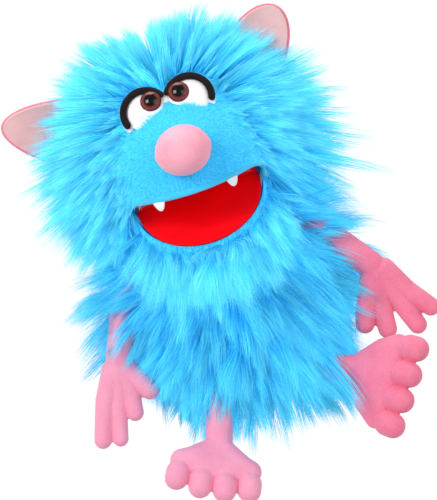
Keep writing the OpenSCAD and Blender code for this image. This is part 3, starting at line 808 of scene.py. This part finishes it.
# ---- Ears ----
def ear_panel(seat, up_deg, side, w, h, y_off, bow, curl, blunt, rows=40, cols=31):
    """Leaf-shaped panel with its base across the head. bow hollows its front, curl rolls its edge
    forwards, and a higher blunt gives a broader tip."""
    t = -0.28 + 1.28 * np.sin(np.linspace(0, math.pi / 2, rows))[:, None]
    s = np.linspace(-1, 1, cols)[None]
    tt = np.clip(t, 0, 1)
    half = w / 2 * np.sqrt(np.clip(1 - tt ** blunt, 0, 1)) * (1 - 0.28 * tt) + 0.05
    across = half * s
    along = h * (t - 0.05 * s * s * (1 - tt)) + 0 * s
    out = y_off + (bow * (1 - s * s) * (1 - 0.5 * tt) - curl * np.abs(s) ** 6) * (1 - tt ** 4) + 0 * t
    a = math.radians(up_deg)
    x = seat[0] + side * (along * math.cos(a) + across * math.sin(a))
    z = seat[2] + along * math.sin(a) - across * math.cos(a)
    return np.stack([x, seat[1] + out, z], -1).reshape(-1, 3), grid_faces(rows, cols)


EAR_SEAT_R, EAR_CLOTH = 112.5, 0.0026
# side, name, where on the head, direction of the tip, narrower, shorter, blunt
EARS = ((1, "left", 34.5, 46, 2, 10, 3.4), (-1, "right", 27, 24, 0, 0, 2.3))
# part, width, length, offset, bow, curl, material, slot, node it stands for
EAR_PANELS = (("front", 61, 58.5, -2.0, 7.5, 1.0, ear_pale, "pale_pink_plush", "inner"),
              ("rear", 65, 60.5, 1.4, 8.0, 3.2, ear_deep, "pink_plush", "back"))
for side, name, at, up, narrower, shorter, blunt in EARS:
    at = math.radians(at)
    seat = (side * EAR_SEAT_R * math.cos(at), HEAD[1], HEAD[2] + EAR_SEAT_R * math.sin(at))
    for part, w, h, offset, bow, curl, mat, slot, node in EAR_PANELS:
        v, f = ear_panel(seat, up, side, w - narrower, h - shorter, offset, bow, curl, blunt)
        panel = make(f"ear_{part}_panel_{name}", v, f[:, ::side], [mat])
        modified(panel, ("SOLIDIFY", {"thickness": EAR_CLOTH, "offset": 0}), ("SUBSURF", {"levels": 1}))
        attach(panel, f"ear_{name}")
        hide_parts(f"ear_{node}_{name}")


# ---- Arms, hands, legs and feet: overlapping balls fused into one stuffed shape ----
BALL_STEP, VOXEL = 2.5, 0.001
ARM_Y = -44.0  # of wrists and hands, in front of the body


def stuffed(name, chains, mat):
    """chains: lists of (x, y, z, radius) joined by evenly spaced balls."""
    ball, ball_faces = sphere(10, 20, 0.05)
    verts, faces = [], []
    for chain in chains:
        for a, b in zip(chain[:-1], chain[1:]):
            a, b = np.array(a, float), np.array(b, float)
            steps = max(2, int(np.linalg.norm(b[:3] - a[:3]) / BALL_STEP))
            for i in range(steps + 1):
                q = a + (b - a) * i / steps
                faces.append(ball_faces + len(verts) * len(ball))
                verts.append(q[:3] + q[3] * ball)
    o = make(name, np.vstack(verts), np.vstack(faces), [mat])
    return modified(o, ("REMESH", {"mode": "VOXEL", "voxel_size": VOXEL}),
                    ("SMOOTH", {"factor": 0.6, "iterations": 7}))


def hand_points(wrist, direction, inwards, points):
    """(along the hand, towards the body, forwards, radius) to the puppet's frame."""
    d = unit(np.array(direction))
    side = np.array([-d[1], d[0]]) * inwards
    side = side if side[0] * inwards > 0 else -side
    return [(wrist[0] + a * d[0] + b * side[0], ARM_Y + k, wrist[1] + a * d[1] + b * side[1], r)
            for a, b, k, r in points]


ARMS = {
    # the puppet's right arm is on the left of the picture
    "right": dict(shoulder=(-92, 130), wrist=(-118.1, 69.4), inwards=1,
                  fingers=[[(4, 0, 0, 11.5), (14, 9, -1, 10.5), (24, 20, -3, 9.6), (30, 27, -3, 9.4)],
                           [(12, 4, 0, 12), (32, 9, -1, 9), (51, 13, -2, 8.2)],
                           [(12, -2, 0, 12), (40, -2.5, 0, 8.2), (75, -1.2, -1, 7.6)],
                           [(12, -6, 0, 11.5), (40, -15, 0, 9), (76, -17.5, 0, 8.4)]],
                  hand_dir=(-0.30, -0.954)),
    "left": dict(shoulder=(92, 130), wrist=(129.4, 75.6), inwards=-1,
                 fingers=[[(4, 0, 0, 11.5), (16, 14, -1, 10.5), (32, 33, -3, 9.6), (39, 39, -3, 9.2)],
                          [(12, 4, 0, 12.5), (32, 15, -1, 9.8), (56, 26, -2, 9)],
                          [(12, -1, 0, 12.5), (40, 0.5, 0, 9.4), (71, 2, -1, 8.8)],
                          [(12, -6, 0, 12), (40, -11, 0, 9.4), (66, -18, 0, 8.8)]],
                 hand_dir=(0.36, -0.933)),
}
for name, a in ARMS.items():
    sx, sz = a["shoulder"]
    wx, wz = a["wrist"]
    chains = [[(sx * 0.86, -16, sz + 2, 12), (sx * 0.75 + wx * 0.25, -32, sz * 0.75 + wz * 0.25, 12.4),
               ((sx + wx) / 2, -41, (sz + wz) / 2, 12.8), (wx, ARM_Y, wz, 13.2)]]
    for finger in a["fingers"]:
        chains.append(hand_points(a["wrist"], a["hand_dir"], a["inwards"], finger))
    # The puppet's left arm takes the deeper pink copy: painted shade away from the key light
    arm = stuffed(f"arm_and_hand_{name}", chains, pink if name == "right" else pink_shaded_side)
    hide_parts(f"arm_cover_{name}", f"arm_filling_{name}", f"hand_{name}")
    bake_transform(arm)

PITCH = math.radians(35)  # of the soles, towards the viewer
LEG_LONG = 43
# side, angle of the leg and of the foot from straight down, toe to toe, length of the foot,
# toes' shift sideways, and how flat the row of toes is
LEGS = {"right": (-1, 19, 29, 22.5, 46, 0, 240), "left": (1, 72, 54, 24.2, 58, -2.5, 1000)}
for name, (side, out, foot, pace, long, shift, flat) in LEGS.items():
    hip = np.array([side * 43.0, -58, 4])
    o, f = math.radians(out), math.radians(foot)
    ankle = hip + LEG_LONG * np.array([side * math.sin(o), 0, -math.cos(o)])
    fwd = np.array([side * math.sin(f), 0, -math.cos(f)])
    toe_dir = fwd * math.cos(PITCH) + np.array([0, -math.sin(PITCH), 0])
    wide = np.array([math.cos(f) * side, 0, math.sin(f)]) * side
    up = np.cross(wide, toe_dir)
    up = up if up[1] < 0 else -up
    chains = [[(*(hip + np.array([0, 4, 4])), 13), (*(hip * 0.45 + ankle * 0.55), 13), (*ankle, 12.4)]]
    for i in np.linspace(-1.5, 1.5, 13):  # the sole's width, with a toe at each half-odd step
        x = i * pace + shift
        reach = long - x * x / flat
        chains.append([(*(ankle + toe_dir * 3), 12.2),
                       (*(ankle + wide * 0.66 * x + toe_dir * (long * 0.42)), 12.4),
                       (*(ankle + wide * 0.93 * x + toe_dir * (reach - 19)), 11.2)])
        if round(abs(i * 4)) in (2, 6):
            chains.append([(*(ankle + wide * 0.985 * x + toe_dir * (reach - 6) + up * 0.8), pace * 0.5),
                           (*(ankle + wide * x + toe_dir * reach), pace * 0.485)])
    # The puppet's left leg takes the deeper pink copy: painted shade away from the key light
    leg = stuffed(f"leg_and_foot_{name}", chains, pink if name == "right" else pink_shaded_side)
    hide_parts(f"leg_cover_{name}", f"leg_filling_{name}", f"foot_{name}")
    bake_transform(leg)

# ---- CAD nodes that are shown as they are ----
for node, mat in (("body_lining", lining_grey), ("neck_lining", lining_grey), ("finger_pocket", lining_grey),
                  ("thumb_pocket", lining_grey), ("hem_binding", skin_blue), ("head_padding", stuffing_white),
                  ("jaw_padding", stuffing_white), ("upper_mouth_board", board_tan),
                  ("lower_mouth_board", board_tan), ("eye_washer_left", washer_white),
                  ("eye_washer_right", washer_white)):
    paint(node, mat)

# ---- Studio ----
# a round room: floor, cove and wall, brighter behind the puppet than in front of it
ROOM_R, ROOM_TOP, FLOOR_Z, COVE_R, ROOM_COLS = 6000.0, 6000.0, -900.0, 1500.0, 64


def paper_white():
    """White that glows by itself, from y = -4 m at the front to y = 3 m behind."""
    m, n, links, b = new_material("paper_white", 1.0, 0.0)
    b.inputs["Base Color"].default_value = (0.03, 0.03, 0.03, 1)
    b.inputs["Emission Color"].default_value = (1, 1, 1, 1)
    where = n.new("ShaderNodeTexCoord")
    xyz = n.new("ShaderNodeSeparateXYZ")
    links.new(where.outputs["Object"], xyz.inputs[0])
    glow = n.new("ShaderNodeMapRange")
    for key, value in (("From Min", -4.0), ("From Max", 3.0), ("To Min", 0.36), ("To Max", 1.0)):
        glow.inputs[key].default_value = value
    links.new(xyz.outputs["Y"], glow.inputs[0])
    links.new(glow.outputs[0], b.inputs["Emission Strength"])
    return m


profile = [(1.0, FLOOR_Z), (2500.0, FLOOR_Z), (ROOM_R - COVE_R, FLOOR_Z)]
profile += [(ROOM_R - COVE_R + COVE_R * math.sin(t), FLOOR_Z + COVE_R - COVE_R * math.cos(t))
            for t in np.linspace(0.1, math.pi / 2, 14)]
profile = np.array(profile + [(ROOM_R, ROOM_TOP)])
a = np.linspace(0, 2 * math.pi, ROOM_COLS, endpoint=False)[None]
r, z = profile[:, :1], profile[:, 1:]
backdrop = make("backdrop", np.stack([r * np.cos(a), r * np.sin(a), z + 0 * a], -1).reshape(-1, 3),
                grid_faces(len(profile), ROOM_COLS, True), [paper_white()])


def area_light(name, loc, size, power, target=(0, -0.05, 0.16)):
    lamp = bpy.data.lights.new(name, "AREA")
    lamp.size, lamp.energy = size, power
    o = bpy.data.objects.new(name, lamp)
    scene.collection.objects.link(o)
    o.location = loc
    o.rotation_mode = "QUATERNION"
    o.rotation_quaternion = (Vector(target) - Vector(loc)).to_track_quat("-Z", "Y")


area_light("key", (-1.1, -1.7, 1.3), 1.0, 33)
area_light("fill", (1.3, -1.7, 0.3), 1.4, 12)
area_light("top", (0.2, 0.3, 1.7), 1.0, 12)
world = bpy.data.worlds.new("world")
scene.world = world
world.use_nodes = True
sky = next(x for x in world.node_tree.nodes if x.type == "BACKGROUND")
sky.inputs["Color"].default_value = (1, 1, 1, 1)
sky.inputs["Strength"].default_value = 0.36
